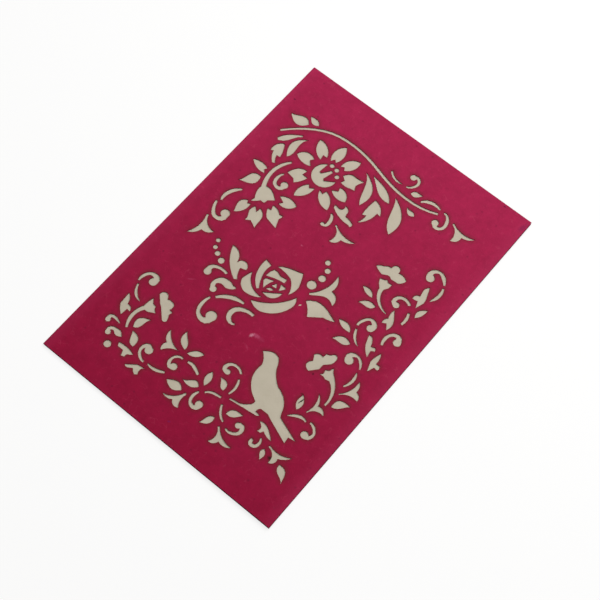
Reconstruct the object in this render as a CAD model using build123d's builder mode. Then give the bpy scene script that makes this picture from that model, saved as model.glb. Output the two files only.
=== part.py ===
"""A folded greeting card of handmade paper with a floral papercut front.

The card lies closed on its back leaf: X runs across it from the fold to the fore
edge, Y up the page and Z out of the front. The origin is under its middle, on what
it lies on. All lengths are in millimetres.
"""

from build123d import *
from math import ceil, pi, radians, sqrt
import os

# The sheets
card_width = 114.5
card_height = 166.0
cover_paper = 0.36  # thickness of the cover's paper
insert_paper = 0.22  # thickness of the thinner inner sheet
insert_margin_side = 3.0  # the insert ends this far inside the fore edge
insert_margin_end = 2.5  # and this far inside the top and bottom edges
inner_fold = 0.08  # radius left inside the fold of the insert
slip = 0.03  # room between one sheet and the next
opening_angle = 0.2  # the fold holds the front leaf open by this many degrees

# The papercut
side_border = 6.25  # plain paper between the cut-outs and the long edges
end_border = 11.0  # plain paper between the cut-outs and the short edges
drawing_width = 102.0  # the drawing below is this wide
drawing_height = 144.0  # and this tall, with its middle at 0, 0
chord_error = 0.04  # a curve is cut in straight steps, which miss it by this much at most
path_samples = 32  # points used to find how far a curve turns

# The drawing fills the leaf between its borders.
across = (card_width - 2 * side_border) / drawing_width
upward = (card_height - 2 * end_border) / drawing_height
pen = min(across, upward)


def spot(x, y):
    """A point of the drawing, on the front leaf."""
    return Vector(x * across, y * upward)


def steps(length, turning):
    """How many straight steps stand for a curve of this length that turns this many radians."""
    return max(2, ceil(sqrt(length * turning / (8 * chord_error))))


def turn_along(curve):
    """How many radians a curve turns from start to end."""
    turned = 0
    for index in range(path_samples):
        before = curve % (index / path_samples)
        after = curve % ((index + 1) / path_samples)
        turned += before.get_angle(after)
    return radians(turned)


def edge(start, end, rise):
    """The points of one edge of a cut-out, which runs clockwise around it.

    rise is how far the edge bows outwards, in millimetres. One number gives an arc,
    0 a straight edge, and two numbers give a curve that stands out so far at one
    third and at two thirds of its length.
    """
    if not rise:
        return [start]
    with BuildLine(mode=Mode.PRIVATE):
        if isinstance(rise, tuple):
            along = (end - start) / 3
            out = along.normalized().rotate(Axis.Z, 90) * pen
            near, far = rise
            first = start + along + out * (3 * near - 1.5 * far)
            second = end - along + out * (3 * far - 1.5 * near)
            curve = Bezier(start, first, second, end)
        else:
            curve = SagittaArc(start, end, rise * pen)
    count = steps(curve.length, turn_along(curve))
    return [curve @ (index / count) for index in range(count)]


def cut_out(points):
    """A cut-out through these points of the leaf."""
    with BuildLine() as rim:
        Polyline(*points, close=True)
    make_face(rim.edges())


def outline(*corners):
    """A cut-out by its corners, clockwise: (x, y), or (x, y, rise of the edge after it)."""
    places = [spot(corner[0], corner[1]) for corner in corners]
    points = []
    for index, corner in enumerate(corners):
        rise = corner[2] if len(corner) > 2 else 0
        points += edge(places[index], places[(index + 1) % len(corners)], rise)
    cut_out(points)


def leaf(base, tip, left, right):
    """A leaf from base to tip. left and right say how far its two sides stand out,
    each at one third and at two thirds of the way from the base."""
    outline((*base, left), (*tip, (right[1], right[0])))


def petal(tip, right_tooth, notch, left_tooth, right, left):
    """A petal with its tip outwards and a notch between two teeth at its foot.
    right and left are the rises of its sides, seen with the tip up."""
    outline((*tip, right), right_tooth, notch, (*left_tooth, left))


def trefoil(stalk, far_tip, pit, near_tip, sides=(-0.16, 0.1, 0.2, -0.2), stalk_width=0.9):
    """A three-armed flower: a cut stalk, two hollow sides, and a sharp pit between the tips.

    The tips can be given in either order round the flower. sides gives each edge's
    rise as a share of its length: from the stalk to the far tip, on to the pit, on to
    the near tip, and back.
    """
    middle = (Vector(*far_tip) + Vector(*near_tip)) / 2
    half_cut = (middle - Vector(*stalk)).normalized().rotate(Axis.Z, 90) * (stalk_width / 2)
    left_cut = Vector(*stalk) + half_cut
    right_cut = Vector(*stalk) - half_cut
    if clockwise(stalk, far_tip, near_tip):
        tips = [far_tip, pit, near_tip]
        shares = sides
    else:
        tips = [near_tip, pit, far_tip]
        shares = sides[::-1]
    corners = [(left_cut.X, left_cut.Y), *tips, (right_cut.X, right_cut.Y)]
    bowed = []
    for share, corner, following in zip(shares, corners, corners[1:]):
        length = (Vector(*following) - Vector(*corner)).length
        bowed.append((*corner, share * length))
    outline(*bowed, corners[-1])


def clockwise(first, second, third):
    """Whether three points run clockwise."""
    return (Vector(*second) - Vector(*first)).cross(Vector(*third) - Vector(*first)).Z < 0


def brush(points, widths):
    """A brush stroke along a smooth path, its widths given at even steps from start to end."""
    with BuildLine(mode=Mode.PRIVATE):
        path = Spline(*[spot(*point) for point in points])
    count = max(len(widths), steps(path.length, turn_along(path)))
    left = []
    right = []
    for index in range(count + 1):
        way = index / count
        place = way * (len(widths) - 1)
        before = min(int(place), len(widths) - 2)
        width = widths[before] + (widths[before + 1] - widths[before]) * (place - before)
        side = (path % way).rotate(Axis.Z, 90) * (width / 2 * pen)
        left.append(path @ way + side)
        right.append(path @ way - side)
    cut_out(left + right[::-1])


def dot(x, y, radius):
    """A round cut-out."""
    with Locations(spot(x, y)):
        RegularPolygon(radius * pen, steps(2 * pi * radius, 2 * pi))


def scroll(points, widths, bulb):
    """A brush stroke that curls up and ends in a round bulb of this radius."""
    brush(points, widths)
    dot(*points[-1], bulb)


def top_spray():
    """The long stem over the sunflower, with its leaves and the scrolls at its end."""
    with BuildSketch(mode=Mode.PRIVATE) as spray:
        brush(
            [
                (-48.3, 50.1), (-40.3, 57.7), (-30.2, 63.0), (-20.5, 64.1), (-10, 62.8), (0, 60.1),
                (11, 58.6), (20, 59.4), (25.8, 61.4),
            ],
            (1.0, 1.2, 1.3, 1.3, 1.1),
        )
        leaf((-40.9, 59.7), (-50.1, 59.5), left=(2.8, 2.4), right=(2.1, 1.0))
        leaf((-37.3, 61.9), (-42.7, 63.5), left=(1.6, 1.2), right=(1.2, 0.9))
        brush([(-39.2, 53.8), (-42.2, 51.2), (-44.3, 48.6), (-46.5, 46.2)], (0.8, 1.2, 2.5, 2.9, 1.2))
        leaf((-35.8, 54.0), (-38.2, 42.1), left=(-1.0, 0.2), right=(3.4, 3.4))
        outline(
            (-42.4, 45.9, 0.3), (-40.1, 40.0), (-41.8, 39.9, -0.3), (-39.8, 36.6),
            (-41.0, 36.1, 0.5), (-44.2, 40.9), (-45.2, 40.1, 0.9), (-44.0, 45.4, 0.3),
        )
        leaf((-8.7, 57.7), (-1.2, 43.8), left=(3.5, 3.9), right=(-1.0, -0.1))
        leaf((-5.4, 58.3), (7.7, 52.2), left=(1.4, 1.8), right=(1.1, 1.9))
        leaf((8.0, 56.2), (16.1, 41.0), left=(3.3, 3.7), right=(0.4, 1.4))
        leaf((19.0, 54.0), (14.2, 56.0), left=(1.6, 1.2), right=(0.8, 0.1))
        outline(
            (2.5, 49.9, 1.2), (8.4, 45.2), (6.7, 45.5, 1.1), (2.9, 37.0, -0.3),
            (3.9, 41.9), (2.3, 41.2, 0.4),
        )
        brush([(-0.8, 65.0), (2.0, 63.0), (4.0, 62.6), (6.2, 62.8)], (0.8, 1.0, 1.0, 0.3))
        scroll(
            [(8.2, 63.0), (10.5, 64.7), (10.9, 68.2), (9.2, 69.2), (7.9, 68.3)],
            (0.8, 1.1, 1.3, 1.6), 1.4,
        )
        leaf((11.5, 61.6), (16.2, 64.0), left=(1.4, 0.8), right=(1.3, 0.9))
        brush([(17.0, 61.2), (19.7, 63.4), (22.7, 64.0), (25.4, 63.4)], (0.9, 1.7, 1.5, 0.7))
        scroll(
            [(27.4, 63.4), (31.1, 60.0), (30.4, 56.5), (28.3, 56.0), (27.3, 57.5)],
            (0.8, 1.4, 1.4, 2.1), 1.5,
        )
        trefoil((33.2, 61.9), (44.5, 61.9), (39.6, 58.9), (36.7, 54.9), sides=(-0.13, 0.12, 0.22, -0.2))
        outline(
            (-5.2, 39.9, 0.6), (-2.5, 38.0, -0.2), (-2.2, 36.2, 0.2), (2.0, 35.2, 0.5), (1.8, 33.4),
            (1.2, 33.8, 0.9), (-8.5, 36.3), (-8.8, 37.7), (-6.3, 37.3, -0.8),
        )
        scroll([(-7.5, 33.3), (-5.6, 30.2), (-6.3, 27.5), (-7.3, 27.5)], (0.9, 1.5, 1.5, 1.2), 0.9)
        trefoil((-2.8, 30.6), (8.5, 29.2), (3.0, 26.6), (-0.6, 23.2), sides=(-0.12, 0.12, 0.22, -0.25))
    return spray.sketch


def sunflower():
    """Nine notched petals around a disc with two bites and three seeds."""
    with BuildSketch(mode=Mode.PRIVATE) as spray:
        petal((-21.9, 61.5), (-20.8, 52.9), (-22.0, 54.0), (-23.0, 52.3), right=1.5, left=2.1)
        petal((-12.9, 59.6), (-15.9, 52.2), (-16.7, 53.6), (-18.2, 52.8), right=1.5, left=1.9)
        outline(
            (-11.8, 53.0, -0.3), (-6.1, 53.5, -0.2), (-7.9, 49.7), (-6.8, 47.6), (-8.4, 47.5, 0.5),
            (-13.6, 47.1), (-12.9, 48.9), (-14.7, 50.1, 0.5),
        )
        petal((-6.5, 41.0), (-14.1, 41.9), (-11.7, 43.3), (-12.2, 45.0), right=1.3, left=1.7)
        petal((-9.8, 33.4), (-17.9, 38.9), (-15.9, 38.1), (-15.4, 40.1), right=1.9, left=1.5)
        petal((-24.5, 30.0), (-22.9, 38.0), (-21.8, 36.8), (-19.9, 38.0), right=1.4, left=1.5)
        outline(
            (-27.3, 42.2), (-27.9, 39.9), (-25.2, 39.8, 0.4), (-28.3, 34.6), (-29.6, 36.0),
            (-33.3, 36.6, 0.3), (-31.0, 41.0, 0.4),
        )
        petal((-35.8, 45.8), (-28.6, 48.4), (-29.8, 47.0), (-27.9, 44.9), right=2.2, left=1.1)
        petal((-32.6, 57.4), (-25.1, 52.4), (-27.1, 52.4), (-26.7, 50.0), right=1.7, left=1.8)
        outline(
            (-22.8, 50.3), (-23.4, 45.7, -0.3), (-22.3, 45.4), (-19.8, 48.9), (-18.8, 48.6),
            (-20.1, 43.9, -0.3), (-19.0, 43.3), (-15.2, 45.9, 8.8),
        )
        dot(-21.1, 50.8, 1.0)
        dot(-18.3, 50.4, 1.0)
        dot(-16.3, 48.0, 1.0)
    return spray.sketch


def bellflower():
    """The nodding flower under the sunflower, its petals, and the scrolls below it."""
    with BuildSketch(mode=Mode.PRIVATE) as spray:
        brush(
            [(-34.8, 41.3), (-36.9, 38.2), (-38.2, 34), (-38.0, 29.5), (-36.2, 24.8)],
            (1.0, 1.6, 1.6, 1.8, 2.0),
        )
        outline(
            (-37.3, 25.2), (-35.8, 26.0, 0.2), (-32.9, 26.1, 0.2), (-28.7, 23.2), (-31.1, 21.3),
            (-31.4, 19.5), (-33.3, 19.5, 0.3), (-36.4, 16.8), (-35.8, 18.9, 0.7),
        )
        scroll(
            [(-33.7, 35.0), (-34.8, 31.8), (-33.6, 29.0), (-31.3, 28.7), (-30.3, 31.1)],
            (0.8, 1.5, 1.6, 2.4), 1.65,
        )
        petal((-48.0, 32.4), (-40.6, 32.7), (-41.4, 31.5), (-40.1, 30.1), right=1.0, left=1.1)
        leaf((-40.3, 28.1), (-46.7, 20.8), left=(2.8, 1.8), right=(2.0, 0.7))
        petal((-20.2, 26.7), (-26.8, 23.1), (-25.6, 24.7), (-28.5, 26.1), right=1.6, left=1.5)
        outline(
            (-27.9, 21.1, 0.6), (-23.3, 19.5), (-21.4, 19.8), (-22.1, 17.6), (-20.5, 13.7),
            (-26.0, 14.9, 0.4), (-28.7, 18.7), (-27.1, 18.9),
        )
        outline(
            (-33.1, 16.2), (-31.2, 14.4), (-30.9, 16.6, (1.8, 1.0)), (-27.1, 8.3), (-30.4, 10.0), (-32.5, 8.6),
            (-32.5, 10.4), (-33.9, 13.2, 0.2),
        )
        petal((-38.4, 8.6), (-37.3, 16.4), (-36.6, 15.1), (-35.3, 15.8), right=(1.3, 2.0), left=1.3)
        brush([(-42.2, 18.5), (-45.1, 15.0), (-46.0, 12.0), (-45.6, 9.3)], (0.9, 1.7, 1.7, 0.9))
        scroll(
            [(-46.7, 8.0), (-45.4, 4.4), (-42.7, 2.1), (-39.9, 3.0), (-40.3, 5.7)],
            (1.0, 1.5, 1.9, 2.9), 1.95,
        )
        trefoil(
            (-45.4, 0.9), (-46.9, -10.5), (-42.9, -6.0), (-38.3, -3.5),
            sides=(-0.12, 0.12, 0.17, -0.2),
        )
    return spray.sketch


def rose():
    """The rose in the middle, with its strings of dots, leaves and scrolls."""
    with BuildSketch(mode=Mode.PRIVATE) as spray:
        outline(
            (-8.9, 1.1, (0.7, 0.4)), (1.0, 5.3, 0.2), (3.5, -0.6, 0.4), (2.3, -5.7, -0.7),
            (-1.4, 0.3, -0.4),
        )
        brush([(-12.6, 0.3), (-12.8, -3.5), (-11.4, -7.8), (-8.7, -11.3)], (3.4, 2.8, 2.4, 1.0))
        outline(
            (-9.9, -4.9, 0.3), (-8.9, -0.7), (-7.3, -0.6), (-5.2, -1.4), (-2.2, -0.9),
            (-2.1, -2.8, -0.3),
        )
        outline((-9.5, -6.7), (-9.0, -5.6), (-5.7, -4.5, -0.3), (-7.3, -9.7))
        outline((-5.4, -6.9), (-4.2, -4.7), (-3.0, -6.7))
        outline((-2.6, -4.0), (0.1, -4.1, 0.2), (-1.7, -6.8))
        outline((-6.4, -9.3), (-5.2, -7.8), (-3.1, -7.6), (-4.3, -9.0))
        outline((-6.5, -11.4, -0.1), (0.2, -6.7, 0.3), (-0.5, -9.8, 0.4), (-3.4, -11.7, 0.1))
        outline((-15.1, -7.1, -2.2), (-4.8, -13.2, 0.7), (-12.0, -15.8, 0.9), (-16.4, -11.8, 0.1))
        outline((5.7, -4.5, 0.7), (6.8, -9.5, 1.5), (-1.5, -18.3, 0.7), (-7.7, -16.8, -1.85))
        for x, y, radius in ((5.5, 15.4, 1.2), (7.7, 12.5, 1.25), (8.1, 8.5, 1.55), (6.7, 3.7, 2.0)):
            dot(x, y, radius)
        for x, y, radius in ((-34.5, -5.3, 0.95), (-33.4, -8.3, 1.0), (-30.9, -9.9, 1.15), (-27.7, -11.4, 1.4)):
            dot(x, y, radius)
        outline(
            (8.1, 0.4, -1.8), (12.4, 13.5, 1.1), (14.6, 6.6, 1.6), (18.6, 1.8, (-2.1, -1.4)), (8.7, -0.3),
        )
        outline((9.2, -3.1, (2.7, 1.9)), (23.9, -2.8, 0.3), (19.1, -4.4), (14.0, -8.3, -0.5))
        outline(
            (-28.6, -3.1, 1.7), (-22.4, -7.8, 2.5), (-17.4, -8.2), (-19.8, -9.0, -0.4), (-17.4, -13.6),
            (-18.6, -14.3, 1.5),
        )
        scroll(
            [(-22.2, -14.4), (-25.6, -14.1), (-28.8, -15.7), (-28.8, -18.4)],
            (1.1, 1.3, 1.6, 2.8), 1.6,
        )
        scroll(
            [(-15.4, -16.8), (-18.3, -17.7), (-21.4, -17.7), (-23.5, -20.0), (-22.1, -22.8)],
            (0.8, 3.4, 2.9, 1.8, 2.1), 1.45,
        )
        brush([(-19.0, -24.9), (-16.1, -22.2), (-12.5, -20.4), (-8.6, -19.9)], (1.1, 1.8, 1.9, 1.0))
        scroll(
            [(-20.5, -26.3), (-21.3, -30.5), (-19.5, -34.7), (-16.0, -35.4), (-14.9, -32.2)],
            (0.9, 1.5, 1.5, 2.4, 4.0), 2.3,
        )
        brush(
            [(-2.3, -21.5), (-6.6, -21.9), (-9.8, -24.5), (-9.8, -27.5), (-7.6, -29.4), (-5.6, -29.0)],
            (1.3, 1.6, 2.0, 2.2, 1.9, 0.8),
        )
    return spray.sketch


def bird():
    """The bird on its branch."""
    with BuildSketch(mode=Mode.PRIVATE) as spray:
        outline(
            (10.0, -30.4, 0.2), (13.6, -28.2, 0.2), (16.6, -28.6, 0.3), (19.0, -32.8, -0.4),
            (24.2, -38.1, 0.2), (28.4, -39.9, 0.6), (32.1, -45.5), (32.9, -47.1), (43.6, -50.9),
            (40.3, -51.4), (40.6, -54.1), (31.6, -50.6), (28.4, -49.2), (25.0, -49.2, -0.3),
            (24.0, -51.2), (26.3, -51.5, 0.2), (25.2, -52.5), (13.1, -54.1), (13.0, -53.4),
            (17.5, -52.6, -0.2), (21.0, -49.8, -0.1), (21.3, -48.3), (18.1, -46.4, 0.4),
            (14.0, -41.5, 0.5), (13.5, -35.0, -0.5),
        )
    return spray.sketch


def left_vine():
    """The carnation in the lower left corner, with the scrolls and leaves around it."""
    with BuildSketch(mode=Mode.PRIVATE) as spray:
        scroll(
            [(-47.0, -39.0), (-46.8, -36.0), (-44.5, -33.4), (-41.8, -34.0), (-42.1, -35.9)],
            (0.8, 1.4, 1.3, 2.2, 3.2), 1.75,
        )
        brush([(-46.1, -40.2), (-44.8, -43.0), (-43.0, -44.7), (-40.7, -45.5)], (0.7, 1.1, 1.2, 0.4))
        outline(
            (-36.6, -38.2, 1.1), (-33.8, -36.2, 0.1), (-32.7, -37.9, 0.6), (-29.0, -38.2, 0.3),
            (-29.1, -40.7), (-27.5, -41.0), (-27.9, -42.6, 0.2), (-26.8, -45.3, 0.4),
            (-28.4, -46.1), (-32.3, -42.2), (-33.8, -41.1),
        )
        outline(
            (-37.3, -41.0), (-35.8, -42.9), (-34.2, -43.2), (-33.8, -44.4), (-32.3, -45.5),
            (-35.2, -47.0), (-37.0, -47.1), (-38.1, -46.2, 0.2),
        )
        brush([(-37.0, -46.0), (-38.4, -48.6), (-38.8, -52.5), (-37.0, -57.2)], (2.0, 1.5, 1.5, 0.9))
        leaf((-35.2, -55.4), (-31.4, -48.7), left=(2.6, 2.2), right=(0.9, 0.0))
        outline(
            (-46.2, -45.5, 0.6), (-43.4, -49.5, 0.9), (-40.6, -51.4), (-42.1, -51.2),
            (-42.4, -54.5, 0.3), (-45.9, -50.9),
        )
        scroll(
            [(-40.2, -57.7), (-42.5, -57.0), (-44.9, -57.3), (-44.9, -59.2)],
            (0.4, 1.2, 1.4, 2.0), 1.15,
        )
        scroll(
            [(-35.8, -61.3), (-38.2, -61.0), (-40.6, -60.7), (-42.0, -61.9), (-41.3, -63.2)],
            (0.4, 3.0, 1.6, 1.4, 1.8), 1.2,
        )
        leaf((-29.7, -61.7), (-34.3, -56.6), left=(1.2, 0.6), right=(2.0, 1.9))
        dot(-38.0, -67.1, 1.55)
        outline(
            (-35.2, -63.6, 0.6), (-27.3, -64.0, 0.2), (-29.3, -65.5), (-29.5, -67.0),
            (-30.8, -67.4), (-31.6, -65.2), (-34.3, -65.2),
        )
        scroll(
            [(-22.3, -63.7), (-25.2, -62.6), (-26.7, -59.7), (-25.5, -57.6), (-23.9, -58.7)],
            (0.9, 1.2, 1.2, 1.7, 3.2), 1.75,
        )
        brush([(-20.5, -63.2), (-18.0, -63.5), (-15.5, -62.9), (-13.1, -61.7)], (0.6, 1.3, 1.4, 1.0))
        outline(
            (-27.2, -69.0), (-23.3, -66.1, 0.2), (-19.0, -65.6, -0.8), (-21.1, -67.8),
            (-20.5, -69.2), (-21.5, -69.9, 0.2), (-23.6, -68.3), (-25.5, -69.5, 0.3),
        )
        outline((-23.0, -46.7, -1.3), (-14.2, -51.6, -1.0), (-20.6, -55.7, 0.8), (-20.9, -51.7, 1.0))
        leaf((-13.4, -49.7), (-17.7, -43.1), left=(1.8, 1.9), right=(1.0, 0.4))
        leaf((-11.9, -50.2), (-6.1, -46.4), left=(1.1, 1.3), right=(1.2, 1.1))
        scroll(
            [(-11.4, -53.0), (-13.7, -53.6), (-14.9, -56.0), (-14.0, -58.2), (-12.1, -57.7)],
            (0.9, 1.2, 1.1, 1.6, 3.0), 1.55,
        )
        brush([(-9.2, -52.7), (-7.0, -52.4), (-5.0, -53.0), (-2.6, -54.2)], (1.1, 1.4, 1.4, 1.0))
    return spray.sketch


def bottom_vine():
    """The leaves and scrolls along the foot of the page, left and right of the bird's branch."""
    with BuildSketch(mode=Mode.PRIVATE) as spray:
        leaf((-3.3, -63.0), (-10.8, -63.2), left=(1.9, 1.7), right=(1.9, 1.4))
        leaf((0.9, -57.8), (-6.5, -59.1), left=(1.5, 1.3), right=(1.8, 0.4))
        trefoil((-1.0, -62.9), (-8.2, -68.5), (-3.5, -68.1), (0.4, -69.3), sides=(-0.14, 0.14, 0.24, -0.14))
        leaf((2.1, -56.1), (0.9, -49.6), left=(1.3, 1.4), right=(1.1, 1.2))
        scroll(
            [(2.3, -59.2), (1.5, -61.8), (2.6, -64.7), (4.9, -65.2), (5.7, -63.1)],
            (0.9, 1.3, 1.2, 1.9, 3.0), 1.6,
        )
        brush([(4.1, -58.0), (5.5, -56.6), (7.5, -55.9), (10.3, -55.5)], (0.8, 1.1, 1.1, 0.9))
        leaf((9.0, -52.9), (4.6, -49.3), left=(0.7, 0.1), right=(2.0, 1.8))
        scroll(
            [(9.9, -43.3), (7.0, -41.9), (4.0, -42.9), (3.3, -45.2), (5.3, -45.9)],
            (0.9, 1.1, 1.3, 1.7, 2.2), 1.2,
        )
        brush([(10.7, -45.4), (11.7, -47.5), (12.0, -50.0), (11.5, -52.5)], (0.8, 1.1, 1.0, 0.7))
        leaf((13.7, -63.1), (10.2, -68.5), left=(1.6, 1.4), right=(1.1, 0.5))
        brush([(12.4, -57.4), (13.8, -59.9), (15.5, -61.6), (17.3, -62.5)], (0.8, 1.0, 1.0, 0.7))
        leaf((15.9, -59.3), (21.6, -55.7), left=(1.8, 1.4), right=(1.2, 0.9))
        scroll(
            [(19.7, -63.9), (23.0, -63.8), (25.0, -61.3), (24.0, -59.3), (22.7, -59.9)],
            (0.7, 1.2, 1.4, 1.8, 2.4), 1.3,
        )
        trefoil((17.2, -64.9), (26.5, -68.5), (21.1, -69.6), (17.7, -72.0), sides=(-0.13, 0.16, 0.22, -0.22))
        outline(
            (27.8, -53.1, 0.4), (31.6, -53.2, 0.2), (36.3, -56.7, 0.4), (31.6, -55.5),
            (30.9, -56.8), (29.4, -56.9, -0.3), (29.7, -54.6),
        )
        brush(
            [(32.5, -58.2), (33.4, -60.3), (32.7, -62.2), (31.0, -62.5), (30.4, -60.5)],
            (0.7, 1.1, 1.5, 1.7, 1.2),
        )
        leaf((36.3, -60.6), (37.5, -65.2), left=(1.1, 0.9), right=(1.1, 0.6))
        trefoil((37.0, -58.6), (46.8, -56.7), (42.7, -60.5), (40.7, -64.0), sides=(-0.13, 0.1, 0.26, -0.25))
        leaf((44.7, -61.7), (49.8, -67.4), left=(2.0, 1.4), right=(1.2, 0.3))
    return spray.sketch


def right_vine():
    """The vine up the fore edge, with two carnations, scrolls, leaves and small flowers."""
    with BuildSketch(mode=Mode.PRIVATE) as spray:
        leaf((35.5, -40.7), (33.8, -34.3), left=(1.2, 1.1), right=(1.4, 1.3))
        brush([(34.2, -44.9), (36.5, -43.0), (39.0, -41.9), (41.5, -42.2)], (0.3, 1.2, 1.4, 0.7))
        scroll(
            [(43.0, -41.4), (45.8, -42.5), (47.0, -44.7), (46.1, -46.6), (44.4, -46.6)],
            (0.9, 1.2, 1.0, 1.5, 3.0), 1.6,
        )
        trefoil(
            (39.1, -39.1), (38.0, -30.0), (41.0, -34.2), (45.0, -36.2),
            sides=(-0.14, 0.12, 0.22, -0.2), stalk_width=0.5,
        )
        leaf((45.0, -31.3), (50.8, -26.6), left=(2.5, 2.1), right=(0.8, 0.3))
        outline(
            (35.8, -18.2), (36.8, -19.8), (38.8, -21.4), (38.6, -23.4), (36.0, -24.0),
            (34.9, -23.5), (33.1, -23.7), (34.1, -22.4), (33.7, -20.8), (35.1, -20.2),
        )
        brush([(37.2, -21.9), (40.4, -24.4), (42.4, -28.1), (42.7, -32.4)], (2.6, 1.6, 1.1, 0.8))
        outline(
            (32.1, -13.9, 0.8), (34.4, -14.6, 0.3), (33.8, -17.8), (31.7, -19.9), (31.7, -22.2),
            (28.9, -25.4, 0.6), (26.3, -23.2, 0.2), (27.6, -20.9), (26.3, -18.7, 0.8),
            (29.6, -17.3), (29.9, -15.4), (31.2, -15.0),
        )
        trefoil(
            (44.0, -25.4), (47.0, -16.2), (48.7, -20.3), (51.2, -23.2),
            sides=(-0.12, 0.14, 0.22, -0.15), stalk_width=0.5,
        )
        brush([(43.8, -14.0), (44.6, -16.4), (44.5, -19.0), (43.3, -21.7)], (0.4, 1.3, 1.1, 0.7))
        scroll(
            [(43.8, -12.3), (42.4, -9.9), (39.8, -8.5), (37.3, -9.8), (38.2, -11.8)],
            (0.5, 1.2, 1.1, 2.1, 3.6), 1.85,
        )
        outline(
            (46.1, -1.6, 0.4), (47.2, -6.2), (48.9, -6.2, 0.4), (49.1, -8.2), (47.6, -8.0),
            (46.4, -11.0), (44.9, -6.7, 0.3),
        )
        outline(
            (37.5, 1.8), (39.1, 1.6, 0.3), (41.1, -1.9), (42.8, -1.2, 0.2), (43.6, -2.6),
            (42.2, -3.4), (42.7, -6.4, 0.3), (39.1, -2.7, 0.1),
        )
        leaf((34.3, -6.2), (27.1, -8.9), left=(1.2, 0.5), right=(2.0, 1.8))
        leaf((31.1, -2.6), (24.2, -0.6), left=(0.9, 1.0), right=(1.7, 1.4))
        brush([(32.1, 0.5), (33.1, -1.8), (34.9, -3.9), (37.1, -5.0)], (0.8, 1.2, 1.0, 0.3))
        scroll(
            [(31.4, 1.8), (32.0, 5.0), (34.4, 7.2), (36.6, 6.1), (36.2, 4.1)],
            (0.9, 1.3, 1.2, 2.0, 3.1), 1.6,
        )
        scroll(
            [(44.0, 1.3), (43.3, 4.5), (44.3, 7.2), (46.7, 8.3), (48.0, 6.0)],
            (0.9, 1.4, 1.3, 1.8, 3.2), 1.65,
        )
        outline((38.6, 16.4, (1.0, 1.5)), (41.4, 7.5), (39.7, 9.8), (38.1, 8.8, 0.6), (38.9, 12.1, 0.4))
        brush([(43.7, 19.0), (44.6, 16.3), (44.4, 13.2)], (0.9, 1.3, 1.0))
        leaf((46.7, 18.8), (48.9, 24.7), left=(1.6, 1.4), right=(0.7, 0.6))
        scroll(
            [(42.0, 21.6), (39.5, 22.7), (36.6, 21.8), (35.9, 19.6), (37.7, 18.5)],
            (1.2, 1.4, 1.4, 1.7, 2.6), 1.4,
        )
        outline(
            (43.4, 33.1), (44.8, 29.4, 0.2), (45.6, 26.0), (44.4, 22.4), (43.2, 25.4, 0.2),
            (40.8, 25.0, 0.8), (42.7, 27.7), (42.1, 30.8, 0.3),
        )
        scroll(
            [(47.2, 37.5), (45.3, 39.8), (42.5, 41.0), (40.0, 39.3), (40.9, 36.6)],
            (0.8, 1.7, 1.3, 1.8, 3.4), 1.8,
        )
        brush([(47.7, 36.3), (48.4, 33.5), (48.1, 31.0), (46.9, 28.4)], (0.8, 1.3, 1.4, 0.5))
        outline(
            (20.9, 27.0, 0.3), (23.6, 28.9, 0.4), (26.4, 30.1, 2.3), (29.9, 30.1, 0.6),
            (34.4, 29.3, 0.5), (32.4, 26.3), (29.3, 26.0), (28.3, 26.6), (27.2, 26.6),
            (25.0, 25.4, 0.2),
        )
        outline(
            (25.5, 23.7), (27.5, 24.2), (28.3, 24.9), (29.3, 24.1), (31.2, 24.3), (30.9, 22.2),
            (29.6, 20.2), (28.2, 19.9), (26.6, 21.6),
        )
        brush([(28.9, 20.8), (29.6, 17.8), (32.0, 14.9), (36.9, 12.9)], (1.9, 1.4, 1.1, 0.5))
        leaf((28.6, 14.8), (22.4, 16.7), left=(0.8, 0.8), right=(1.4, 1.3))
        leaf((32.0, 12.6), (25.2, 9.8), left=(1.3, 0.5), right=(1.6, 1.4))
    return spray.sketch


with BuildSketch() as papercut:
    add(top_spray())
    add(sunflower())
    add(bellflower())
    add(rose())
    add(bird())
    add(left_vine())
    add(bottom_vine())
    add(right_vine())


# Cover: one folded sheet. Its fold turns about a line along the left long edge, with
# room inside for the folded insert.
insert_radius = inner_fold + insert_paper
cover_inside = insert_radius + slip
cover_radius = cover_inside + cover_paper
fold_x = cover_radius - card_width / 2
fore_x = card_width / 2


def folded_section(outer, thickness, reach):
    """The section of a folded sheet across the card: back leaf, fold and front leaf.

    outer is the radius outside the fold, and reach how far each leaf goes from the
    fold's middle. Both sheets fold about the same line, so they lie one in the other.
    """
    middle = Vector(fold_x, cover_radius)
    inner = outer - thickness
    leaf_turn = 180 - opening_angle
    leaves = (
        (Vector(0, -1), Vector(1, 0)),
        (Vector(0, 1).rotate(Axis.Z, opening_angle), Vector(1, 0).rotate(Axis.Z, opening_angle)),
    )
    with BuildSketch(Plane.XZ) as section:
        with BuildLine():
            CenterArc(middle, outer, 90 + opening_angle, leaf_turn)
            CenterArc(middle, inner, 90 + opening_angle, leaf_turn)
            for side, run in leaves:
                Polyline(
                    middle + side * outer,
                    middle + side * outer + run * reach,
                    middle + side * inner + run * reach,
                    middle + side * inner,
                )
        make_face()
    return section.sketch


# The outside of the front leaf, with the middle of the drawing in the middle of the card
leaf_middle = -fold_x
front_run = Vector(1, 0, 0).rotate(Axis.Y, -opening_angle)
front_out = Vector(0, 0, 1).rotate(Axis.Y, -opening_angle)
front_middle = Vector(fold_x, 0, cover_radius) + front_out * cover_radius + front_run * leaf_middle
front_leaf = Plane(origin=front_middle, x_dir=front_run, z_dir=front_out)

with BuildPart() as cover:
    extrude(
        folded_section(cover_radius, cover_paper, fore_x - fold_x),
        amount=card_height / 2,
        both=True,
    )
    with BuildSketch(front_leaf):
        add(papercut.sketch)
    extrude(amount=-cover_radius, mode=Mode.SUBTRACT)

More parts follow.
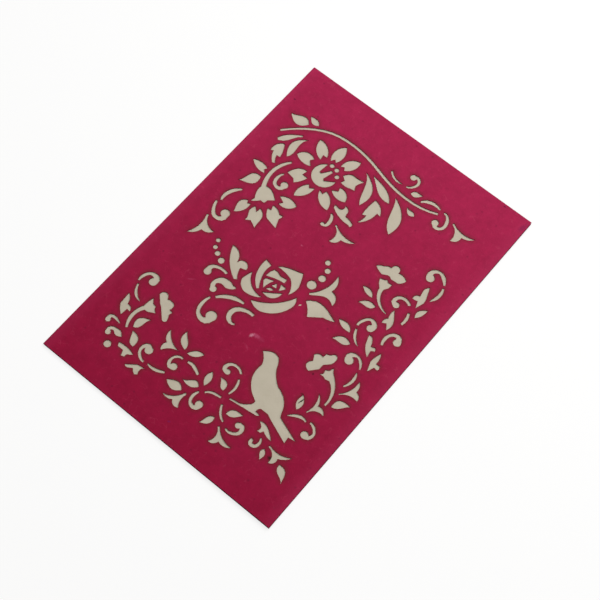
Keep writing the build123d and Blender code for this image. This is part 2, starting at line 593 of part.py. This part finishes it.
# Insert: the inner sheet, folded into the cover's fold and cut a little smaller.
with BuildPart() as insert:
    extrude(
        folded_section(insert_radius, insert_paper, fore_x - fold_x - insert_margin_side),
        amount=card_height / 2 - insert_margin_end,
        both=True,
    )

cover.part.label = "cover"
insert.part.label = "insert"

os.makedirs("parts", exist_ok=True)
export_step(cover.part, "parts/cover.step")
export_step(insert.part, "parts/insert.step")
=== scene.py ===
"""A folded greeting card of handmade paper with a floral papercut front.

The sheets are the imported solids, which already have the card's folds and cut-outs.
Here they get their papers, and the card is lit and seen as in a studio.
"""

from math import radians

import bmesh
import bpy
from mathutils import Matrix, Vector

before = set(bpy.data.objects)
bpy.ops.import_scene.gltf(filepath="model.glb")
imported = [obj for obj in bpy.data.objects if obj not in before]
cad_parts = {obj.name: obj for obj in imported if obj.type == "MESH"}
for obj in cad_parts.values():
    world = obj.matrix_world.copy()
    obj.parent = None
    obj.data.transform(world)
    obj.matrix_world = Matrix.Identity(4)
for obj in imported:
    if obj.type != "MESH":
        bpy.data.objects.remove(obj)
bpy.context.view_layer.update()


# The cover is one sheet of handmade cotton paper, dyed magenta in the pulp and folded once
# along its left long edge. Its face is matte, with pulp clumps and long fibres in it, and
# its front leaf is cut through by a laser, which singes the paper beside each cut.
def srgb(code, alpha=1.0):
    """A colour written as in a paint program, as the linear values that shaders use."""
    linear = []
    for start in (1, 3, 5):
        value = int(code[start : start + 2], 16) / 255
        linear.append(value / 12.92 if value <= 0.04045 else ((value + 0.055) / 1.055) ** 2.4)
    return (*linear, alpha)


def add_node(material, kind, links=None, **settings):
    """One shader node. links gives its inputs, as values or as other nodes' outputs."""
    node = material.node_tree.nodes.new(kind)
    for name, value in settings.items():
        setattr(node, name, value)
    for socket, value in (links or {}).items():
        if isinstance(value, bpy.types.NodeSocket):
            material.node_tree.links.new(value, node.inputs[socket])
        else:
            node.inputs[socket].default_value = value
    return node


magenta_paper = bpy.data.materials.new("magenta_handmade_paper")
magenta_paper.use_nodes = True
magenta_paper.node_tree.nodes.clear()
place = add_node(magenta_paper, "ShaderNodeTexCoord")
in_mm = add_node(
    magenta_paper,
    "ShaderNodeMapping",
    {"Vector": place.outputs["Object"], "Scale": (1000, 1000, 1000)},
)

# The vat's dye settles unevenly, in clouds 26 mm across with smaller ones in them. The paper is also made lighter and
# bluer
# towards the head of the sheet: painted light, as from the lamp beyond the head.
dye_clouds = add_node(
    magenta_paper,
    "ShaderNodeTexNoise",
    {"Vector": in_mm.outputs["Vector"], "Scale": 1 / 26, "Detail": 3.0, "Roughness": 0.55},
)
# Painted light: the tone rises steadily towards the head of the sheet.
painted_light_along_sheet = add_node(
    magenta_paper,
    "ShaderNodeVectorMath",
    {0: in_mm.outputs["Vector"], 1: (0, 1 / 180, 0)},
    operation="DOT_PRODUCT",
)
dye_clouds_and_painted_light = add_node(
    magenta_paper,
    "ShaderNodeMath",
    {0: dye_clouds.outputs["Fac"], 1: 0.5, 2: painted_light_along_sheet.outputs["Value"]},
    operation="MULTIPLY_ADD",
)
dye_and_painted_light = add_node(
    magenta_paper,
    "ShaderNodeValToRGB",
    {"Fac": add_node(magenta_paper, "ShaderNodeMath", {0: dye_clouds_and_painted_light.outputs["Value"], 1: 0.25}).outputs["Value"]},
)
dye_and_painted_light.color_ramp.elements[0].position = 0.05
dye_and_painted_light.color_ramp.elements[0].color = srgb("#891033")
dye_and_painted_light.color_ramp.elements[1].position = 0.95
dye_and_painted_light.color_ramp.elements[1].color = srgb("#9B1F45")

# Pulp settles in clumps about 1.8 mm across, and in loose drifts of 4.5 mm. They take the
# dye lighter or darker.
pulp_clumps = add_node(
    magenta_paper,
    "ShaderNodeTexNoise",
    {"Vector": in_mm.outputs["Vector"], "Scale": 1 / 1.8, "Detail": 2.0, "Roughness": 0.6},
)
pulp_drifts = add_node(
    magenta_paper,
    "ShaderNodeTexNoise",
    {"Vector": in_mm.outputs["Vector"], "Scale": 1 / 4.5, "Detail": 1.0},
)
pulp_depth = add_node(
    magenta_paper,
    "ShaderNodeMath",
    {0: pulp_clumps.outputs["Fac"], 1: pulp_drifts.outputs["Fac"]},
    operation="ADD",
)
clump_tone = add_node(
    magenta_paper,
    "ShaderNodeMapRange",
    {"Value": pulp_depth.outputs["Value"], "From Min": 0.6, "From Max": 1.4, "To Min": 0.90, "To Max": 1.10},
)
clumped = add_node(
    magenta_paper,
    "ShaderNodeVectorMath",
    {"Vector": dye_and_painted_light.outputs["Color"], "Scale": clump_tone.outputs["Result"]},
    operation="SCALE",
)

# Cotton fibres 2 to 4 mm long lie every way. Each is a stretch of a contour line of a
# noise, drawn 0.15 mm wide so that it shows.
fibre_field = add_node(
    magenta_paper,
    "ShaderNodeTexNoise",
    {"Vector": in_mm.outputs["Vector"], "Scale": 1 / 3.0, "Detail": 1.0, "Roughness": 0.4},
)
off_line = add_node(
    magenta_paper,
    "ShaderNodeMath",
    {0: fibre_field.outputs["Fac"], 1: 0.5},
    operation="SUBTRACT",
)
from_line = add_node(magenta_paper, "ShaderNodeMath", {0: off_line.outputs["Value"]}, operation="ABSOLUTE")
fibre_line = add_node(
    magenta_paper,
    "ShaderNodeMapRange",
    {"Value": from_line.outputs["Value"], "From Min": 0.0, "From Max": 0.02, "To Min": 1.0, "To Max": 0.0},
)
fibre_break = add_node(
    magenta_paper,
    "ShaderNodeTexNoise",
    {"Vector": in_mm.outputs["Vector"], "Scale": 1 / 2.2, "Detail": 0.0},
)
fibre_stretch = add_node(
    magenta_paper,
    "ShaderNodeMapRange",
    {"Value": fibre_break.outputs["Fac"], "From Min": 0.5, "From Max": 0.6, "To Min": 0.0, "To Max": 1.0},
)
fibres = add_node(
    magenta_paper,
    "ShaderNodeMath",
    {0: fibre_line.outputs["Result"], 1: fibre_stretch.outputs["Result"]},
    operation="MULTIPLY",
)
fibre_strength = add_node(
    magenta_paper, "ShaderNodeMath", {0: fibres.outputs["Value"], 1: 0.13}, operation="MULTIPLY"
)
with_fibres = add_node(
    magenta_paper,
    "ShaderNodeMix",
    {"Factor": fibre_strength.outputs["Value"], "A": clumped.outputs["Vector"], "B": srgb("#C8506C")},
    data_type="RGBA",
)

# Bits of bark and seed from the vat show as faint dark specks, up to a millimetre across
# and about 8 mm apart. How dark each is comes from its own random tone.
speck_field = add_node(
    magenta_paper,
    "ShaderNodeTexVoronoi",
    {"Vector": in_mm.outputs["Vector"], "Scale": 1 / 8},
    voronoi_dimensions="2D",
)
speck_round = add_node(
    magenta_paper,
    "ShaderNodeMapRange",
    {"Value": speck_field.outputs["Distance"], "From Min": 0.02, "From Max": 0.08, "To Min": 1.0, "To Max": 0.0},
)
speck_tones = add_node(magenta_paper, "ShaderNodeSeparateColor", {"Color": speck_field.outputs["Color"]})
speck_depth = add_node(
    magenta_paper,
    "ShaderNodeMapRange",
    {"Value": speck_tones.outputs["Red"], "From Min": 0.4, "From Max": 1.0, "To Min": 0.0, "To Max": 0.4},
)
specks = add_node(
    magenta_paper,
    "ShaderNodeMath",
    {0: speck_round.outputs["Result"], 1: speck_depth.outputs["Result"]},
    operation="MULTIPLY",
)
with_specks = add_node(
    magenta_paper,
    "ShaderNodeMix",
    {"Factor": specks.outputs["Value"], "A": with_fibres.outputs["Result"], "B": srgb("#4A1028")},
    data_type="RGBA",
)


# A single fleck, scuff or fibre that lies at a known spot. Its rim is broken up by a noise.
def with_mark(material, in_mm, tone, spot, half_size, turn, colour, strength):
    """The tone with one soft oval mark on it. Lengths are in mm and turn is in degrees."""
    at_mark = add_node(
        material,
        "ShaderNodeMapping",
        {"Vector": in_mm, "Location": spot, "Rotation": (0, 0, radians(turn)), "Scale": half_size},
        vector_type="TEXTURE",
    )
    ragged = add_node(material, "ShaderNodeTexNoise", {"Vector": in_mm, "Scale": 1 / 0.5, "Detail": 1.0})
    reach = add_node(material, "ShaderNodeVectorMath", {0: at_mark.outputs["Vector"]}, operation="LENGTH")
    ragged_reach = add_node(
        material, "ShaderNodeMath", {0: reach.outputs["Value"], 1: ragged.outputs["Fac"]}, operation="ADD"
    )
    mark = add_node(
        material,
        "ShaderNodeMapRange",
        {"Value": ragged_reach.outputs["Value"], "From Min": 0.8, "From Max": 1.5, "To Min": strength, "To Max": 0.0},
    )
    marked = add_node(
        material, "ShaderNodeMix", {"Factor": mark.outputs["Result"], "A": tone, "B": srgb(colour)}, data_type="RGBA"
    )
    return marked.outputs["Result"]


front_height = 1.58
cover_tone = with_specks.outputs["Result"]
for spot, half_size, turn, colour, strength in (
    ((2.5, -28.2), (1.5, 0.8), 65, "#D08CA0", 0.60),
    ((4.1, -27.3), (1.8, 1.1), 5, "#BC5A7C", 0.40),
    ((6.2, -27.2), (2.2, 1.2), 0, "#B04A6C", 0.18),
    ((8.7, -6.2), (0.75, 0.35), 60, "#CFC4B0", 0.90),
    ((-31.5, -25.3), (2.2, 0.4), 35, "#B04A6C", 0.25),
    ((4.2, -33.2), (1.8, 0.3), -30, "#B04A6C", 0.25),
    ((-7.4, 14.5), (0.6, 0.4), 0, "#B85A78", 0.50),
    ((-53.2, 65.4), (0.8, 0.6), 0, "#3C0F26", 0.70),
    ((55.9, 78.8), (3.6, 1.5), 77, "#6E1A42", 0.55),
    ((44.6, 81.8), (0.8, 0.5), 0, "#4A1030", 0.70),
    ((40.2, -62.2), (1.2, 1.0), 0, "#1E0A12", 1.00),
    ((20.3, -64.0), (0.7, 0.5), 0, "#2E0B18", 0.70),
    ((33.2, -34.4), (0.7, 0.5), 0, "#2E0B18", 0.70),
    ((31.1, -25.3), (0.7, 0.6), 0, "#2E0B18", 0.70),
    ((1.5, -75.7), (0.8, 0.5), 30, "#6E1F5A", 0.50),
):
    cover_tone = with_mark(
        magenta_paper,
        in_mm.outputs["Vector"],
        cover_tone,
        (*spot, front_height),
        (*half_size, 1.0),
        turn,
        colour,
        strength,
    )

# The paper is made lighter for 4 mm along its two long edges: painted light, for the bowed leaf's lighter edges. The
# crest of the fold is paler still, where its skin is cracked in short stretches.
side_place = add_node(magenta_paper, "ShaderNodeVectorMath", {0: in_mm.outputs["Vector"]}, operation="ABSOLUTE")
from_middle = add_node(magenta_paper, "ShaderNodeSeparateXYZ", {"Vector": side_place.outputs["Vector"]})
# Painted light: lighter towards both long edges, up to 0.09 of the way to pink.
painted_edge_light = add_node(
    magenta_paper,
    "ShaderNodeMapRange",
    {"Value": from_middle.outputs["X"], "From Min": 52.0, "From Max": 56.0, "To Min": 0.0, "To Max": 0.09},
)
with_painted_edge_light = add_node(
    magenta_paper,
    "ShaderNodeMix",
    {"Factor": painted_edge_light.outputs["Result"], "A": cover_tone, "B": srgb("#C2436B")},
    data_type="RGBA",
)
on_sheet = add_node(magenta_paper, "ShaderNodeSeparateXYZ", {"Vector": in_mm.outputs["Vector"]})
on_crest = add_node(
    magenta_paper,
    "ShaderNodeMapRange",
    {"Value": on_sheet.outputs["X"], "From Min": -57.2, "From Max": -56.9, "To Min": 1.0, "To Max": 0.0},
)
cracks = add_node(
    magenta_paper,
    "ShaderNodeTexNoise",
    {"Vector": in_mm.outputs["Vector"], "Scale": 1 / 1.2, "Detail": 3.0, "Roughness": 0.7},
)
cracked = add_node(
    magenta_paper,
    "ShaderNodeMapRange",
    {"Value": cracks.outputs["Fac"], "From Min": 0.50, "From Max": 0.66, "To Min": 0.0, "To Max": 0.35},
)
crest_wear = add_node(
    magenta_paper,
    "ShaderNodeMath",
    {0: on_crest.outputs["Result"], 1: cracked.outputs["Result"]},
    operation="MULTIPLY",
)
with_crest = add_node(
    magenta_paper,
    "ShaderNodeMix",
    {"Factor": crest_wear.outputs["Value"], "A": with_painted_edge_light.outputs["Result"], "B": srgb("#CC6C88")},
    data_type="RGBA",
)

# The laser singes the paper brown for about a millimetre beside each cut. Only the front
# leaf, away from its outer edges, is cut in that way.
face = add_node(magenta_paper, "ShaderNodeNewGeometry")
softened_face = add_node(magenta_paper, "ShaderNodeBevel", {"Radius": 0.0025}, samples=8)
face_kept = add_node(
    magenta_paper,
    "ShaderNodeVectorMath",
    {0: face.outputs["True Normal"], 1: softened_face.outputs["Normal"]},
    operation="DOT_PRODUCT",
)
turned_away = add_node(
    magenta_paper,
    "ShaderNodeMapRange",
    {"Value": face_kept.outputs["Value"], "From Min": 0.0, "From Max": 1.0, "To Min": 1.0, "To Max": 0.0},
)
beside_edge = add_node(
    magenta_paper, "ShaderNodeMath", {0: turned_away.outputs["Result"], 1: 0.4}, operation="POWER"
)
within_sides = add_node(
    magenta_paper, "ShaderNodeMath", {0: from_middle.outputs["X"], 1: 53.0}, operation="LESS_THAN"
)
within_ends = add_node(
    magenta_paper, "ShaderNodeMath", {0: from_middle.outputs["Y"], 1: 74.0}, operation="LESS_THAN"
)
within_border = add_node(
    magenta_paper,
    "ShaderNodeMath",
    {0: within_sides.outputs["Value"], 1: within_ends.outputs["Value"]},
    operation="MULTIPLY",
)
in_front_leaf = add_node(
    magenta_paper, "ShaderNodeMath", {0: from_middle.outputs["Z"], 1: 0.9}, operation="GREATER_THAN"
)
in_papercut = add_node(
    magenta_paper,
    "ShaderNodeMath",
    {0: within_border.outputs["Value"], 1: in_front_leaf.outputs["Value"]},
    operation="MULTIPLY",
)
singe = add_node(
    magenta_paper,
    "ShaderNodeMath",
    {0: beside_edge.outputs["Value"], 1: in_papercut.outputs["Value"]},
    operation="MULTIPLY",
)
singed = add_node(
    magenta_paper,
    "ShaderNodeMix",
    {"Factor": singe.outputs["Value"], "A": with_crest.outputs["Result"], "B": srgb("#48281B")},
    data_type="RGBA",
)

# The cut edges are made nearly black. A cut edge is a little darker than the face, and the rest is painted shade, for
# edges that stand in shade. The fold has none.
facing = add_node(magenta_paper, "ShaderNodeSeparateXYZ", {"Vector": face.outputs["True Normal"]})
facing_up = add_node(magenta_paper, "ShaderNodeMath", {0: facing.outputs["Z"]}, operation="ABSOLUTE")
upright = add_node(
    magenta_paper, "ShaderNodeMath", {0: facing_up.outputs["Value"], 1: 0.1}, operation="LESS_THAN"
)
off_fold = add_node(
    magenta_paper, "ShaderNodeMath", {0: on_sheet.outputs["X"], 1: -56.5}, operation="GREATER_THAN"
)
cut_edge = add_node(
    magenta_paper,
    "ShaderNodeMath",
    {0: upright.outputs["Value"], 1: off_fold.outputs["Value"]},
    operation="MULTIPLY",
)
# Painted shade: cut edges are mixed 0.9 of the way to near black.
painted_edge_shade_depth = add_node(magenta_paper, "ShaderNodeMath", {0: cut_edge.outputs["Value"], 1: 0.9}, operation="MULTIPLY")
with_painted_edge_shade = add_node(
    magenta_paper,
    "ShaderNodeMix",
    {"Factor": painted_edge_shade_depth.outputs["Value"], "A": singed.outputs["Result"], "B": srgb("#240A10")},
    data_type="RGBA",
)

# The sheet has cockled a little as it dried, in waves 38 mm long. Clumps and fibres stand
# in relief on that, under a soft tooth of 0.35 mm.
cockle = add_node(
    magenta_paper,
    "ShaderNodeTexNoise",
    {"Vector": in_mm.outputs["Vector"], "Scale": 1 / 38, "Detail": 1.0},
)
cockle_relief = add_node(
    magenta_paper,
    "ShaderNodeBump",
    {"Height": cockle.outputs["Fac"], "Strength": 1.0, "Distance": 0.0008},
)
clump_relief = add_node(
    magenta_paper,
    "ShaderNodeBump",
    {"Height": pulp_clumps.outputs["Fac"], "Normal": cockle_relief.outputs["Normal"], "Strength": 1.0, "Distance": 0.00006},
)
fibre_relief = add_node(
    magenta_paper,
    "ShaderNodeBump",
    {"Height": fibres.outputs["Value"], "Normal": clump_relief.outputs["Normal"], "Strength": 1.0, "Distance": 0.00001},
)
tooth = add_node(
    magenta_paper,
    "ShaderNodeTexNoise",
    {"Vector": in_mm.outputs["Vector"], "Scale": 1 / 0.35, "Detail": 2.0},
)
tooth_relief = add_node(
    magenta_paper,
    "ShaderNodeBump",
    {"Height": tooth.outputs["Fac"], "Normal": fibre_relief.outputs["Normal"], "Strength": 1.0, "Distance": 0.00003},
)
paper_face = add_node(
    magenta_paper,
    "ShaderNodeBsdfPrincipled",
    {
        "Base Color": with_painted_edge_shade.outputs["Result"],
        "Roughness": 0.9,
        "IOR": 1.45,
        "Specular IOR Level": 0.12,
        "Normal": tooth_relief.outputs["Normal"],
    },
)
add_node(magenta_paper, "ShaderNodeOutputMaterial", {"Surface": paper_face.outputs["BSDF"]})

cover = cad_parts["cover"]
cover.data.materials.clear()
cover.data.materials.append(magenta_paper)


# The insert is a thinner sheet of undyed handmade paper, folded into the cover's fold. It
# is what shows through the cut-outs, and it is matte and nearly even in tone.
cream_paper = bpy.data.materials.new("cream_handmade_paper")
cream_paper.use_nodes = True
cream_paper.node_tree.nodes.clear()
cream_place = add_node(cream_paper, "ShaderNodeTexCoord")
cream_in_mm = add_node(
    cream_paper,
    "ShaderNodeMapping",
    {"Vector": cream_place.outputs["Object"], "Scale": (1000, 1000, 1000)},
)
pulp_clouds = add_node(
    cream_paper,
    "ShaderNodeTexNoise",
    {"Vector": cream_in_mm.outputs["Vector"], "Scale": 1 / 9, "Detail": 4.0, "Roughness": 0.6},
)
pulp = add_node(cream_paper, "ShaderNodeValToRGB", {"Fac": pulp_clouds.outputs["Fac"]})
pulp.color_ramp.elements[0].position = 0.3
pulp.color_ramp.elements[0].color = srgb("#B3AA98")
pulp.color_ramp.elements[1].position = 0.7
pulp.color_ramp.elements[1].color = srgb("#BBB2A0")

# Fibres 4 mm long show a shade darker in it. A dark one lies in the gap right of the stem.
cream_field = add_node(
    cream_paper,
    "ShaderNodeTexNoise",
    {"Vector": cream_in_mm.outputs["Vector"], "Scale": 1 / 4.0, "Detail": 1.0, "Roughness": 0.4},
)
cream_off_line = add_node(
    cream_paper, "ShaderNodeMath", {0: cream_field.outputs["Fac"], 1: 0.5}, operation="SUBTRACT"
)
cream_from_line = add_node(
    cream_paper, "ShaderNodeMath", {0: cream_off_line.outputs["Value"]}, operation="ABSOLUTE"
)
cream_fibres = add_node(
    cream_paper,
    "ShaderNodeMapRange",
    {"Value": cream_from_line.outputs["Value"], "From Min": 0.0, "From Max": 0.015, "To Min": 0.12, "To Max": 0.0},
)
cream_with_fibres = add_node(
    cream_paper,
    "ShaderNodeMix",
    {"Factor": cream_fibres.outputs["Result"], "A": pulp.outputs["Color"], "B": srgb("#A2967F")},
    data_type="RGBA",
)
insert_height = 1.38
cream_tone = with_mark(
    cream_paper,
    cream_in_mm.outputs["Vector"],
    cream_with_fibres.outputs["Result"],
    (34.7, -36.7, insert_height),
    (2.2, 0.42, 1.0),
    76,
    "#2E2A20",
    1.0,
)
cream_tooth = add_node(
    cream_paper,
    "ShaderNodeTexNoise",
    {"Vector": cream_in_mm.outputs["Vector"], "Scale": 1 / 0.5, "Detail": 2.0},
)
cream_relief = add_node(
    cream_paper,
    "ShaderNodeBump",
    {"Height": cream_tooth.outputs["Fac"], "Strength": 1.0, "Distance": 0.00003},
)
cream_face = add_node(
    cream_paper,
    "ShaderNodeBsdfPrincipled",
    {
        "Base Color": cream_tone,
        "Roughness": 0.9,
        "IOR": 1.45,
        "Specular IOR Level": 0.12,
        "Normal": cream_relief.outputs["Normal"],
    },
)
add_node(cream_paper, "ShaderNodeOutputMaterial", {"Surface": cream_face.outputs["BSDF"]})

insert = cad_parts["insert"]
insert.data.materials.clear()
insert.data.materials.append(cream_paper)


# The card lies on a plain white table top. The camera sees it near white, with the card's
# soft shadow left in it, and to the card it is an ordinary white surface.
table_mesh = bpy.data.meshes.new("table_top")
table_form = bmesh.new()
bmesh.ops.create_grid(table_form, x_segments=2, y_segments=2, size=3.0)
table_form.to_mesh(table_mesh)
table_form.free()
table = bpy.data.objects.new("table_top", table_mesh)
bpy.context.scene.collection.objects.link(table)
table_white = bpy.data.materials.new("white_table_top")
table_white.use_nodes = True
table_white.node_tree.nodes.clear()
matte_white = add_node(table_white, "ShaderNodeBsdfDiffuse", {"Color": srgb("#F4F3F1")})
plain_white = add_node(table_white, "ShaderNodeEmission", {"Color": (1, 1, 1, 1), "Strength": 1.0})
ray = add_node(table_white, "ShaderNodeLightPath")
seen_or_glossy = add_node(
    table_white,
    "ShaderNodeMath",
    {0: ray.outputs["Is Camera Ray"], 1: ray.outputs["Is Glossy Ray"]},
    operation="MAXIMUM",
)
seen = add_node(
    table_white,
    "ShaderNodeMath",
    {0: seen_or_glossy.outputs["Value"], 1: ray.outputs["Is Transmission Ray"]},
    operation="MAXIMUM",
)
white_share = add_node(table_white, "ShaderNodeMath", {0: seen.outputs["Value"], 1: 0.78}, operation="MULTIPLY")
table_face = add_node(
    table_white,
    "ShaderNodeMixShader",
    {0: white_share.outputs["Value"], 1: matte_white.outputs["BSDF"], 2: plain_white.outputs["Emission"]},
)
add_node(table_white, "ShaderNodeOutputMaterial", {"Surface": table_face.outputs["Shader"]})
table.data.materials.append(table_white)


# Soft studio light: a window-sized lamp beyond the head of the card, from where the paper
# is brighter, a wide softbox overhead, and a faint white room.
def soft_lamp(name, place, aim, width, watts):
    """A square lamp that shines from place to aim. All lengths are in metres."""
    lamp = bpy.data.lights.new(name, "AREA")
    lamp.shape = "SQUARE"
    lamp.size = width
    lamp.energy = watts
    lamp_object = bpy.data.objects.new(name, lamp)
    bpy.context.scene.collection.objects.link(lamp_object)
    lamp_object.location = place
    lamp_object.rotation_euler = (aim - place).to_track_quat("-Z", "Y").to_euler()


card_middle = Vector((0, 0, 0))
soft_lamp("window", Vector((0.08, 0.36, 0.60)), card_middle, 0.5, 4.5)
soft_lamp("softbox", Vector((0, 0, 1.2)), card_middle, 1.2, 3.6)

room = bpy.data.worlds.new("white_room")
room.use_nodes = True
room.node_tree.nodes.clear()
room_ray = add_node(room, "ShaderNodeLightPath")
room_strength = add_node(
    room,
    "ShaderNodeMapRange",
    {"Value": room_ray.outputs["Is Camera Ray"], "To Min": 0.2, "To Max": 0.84},
)
room_light = add_node(
    room, "ShaderNodeBackground", {"Color": (1, 1, 1, 1), "Strength": room_strength.outputs["Result"]}
)
add_node(room, "ShaderNodeOutputWorld", {"Surface": room_light.outputs["Background"]})
bpy.context.scene.world = room


# The camera looks down on the card, turned so that the page runs up to the right.
camera = bpy.data.cameras.new("camera")
camera.sensor_width = 36
camera.lens = 90.36
camera_object = bpy.data.objects.new("camera", camera)
camera_object.location = (0.14865, -0.20122, 0.54509)
camera_object.rotation_euler = (radians(23.968), radians(-1.731), radians(39.572))
bpy.context.scene.collection.objects.link(camera_object)
bpy.context.scene.camera = camera_object
bpy.context.scene.view_settings.view_transform = "Standard"
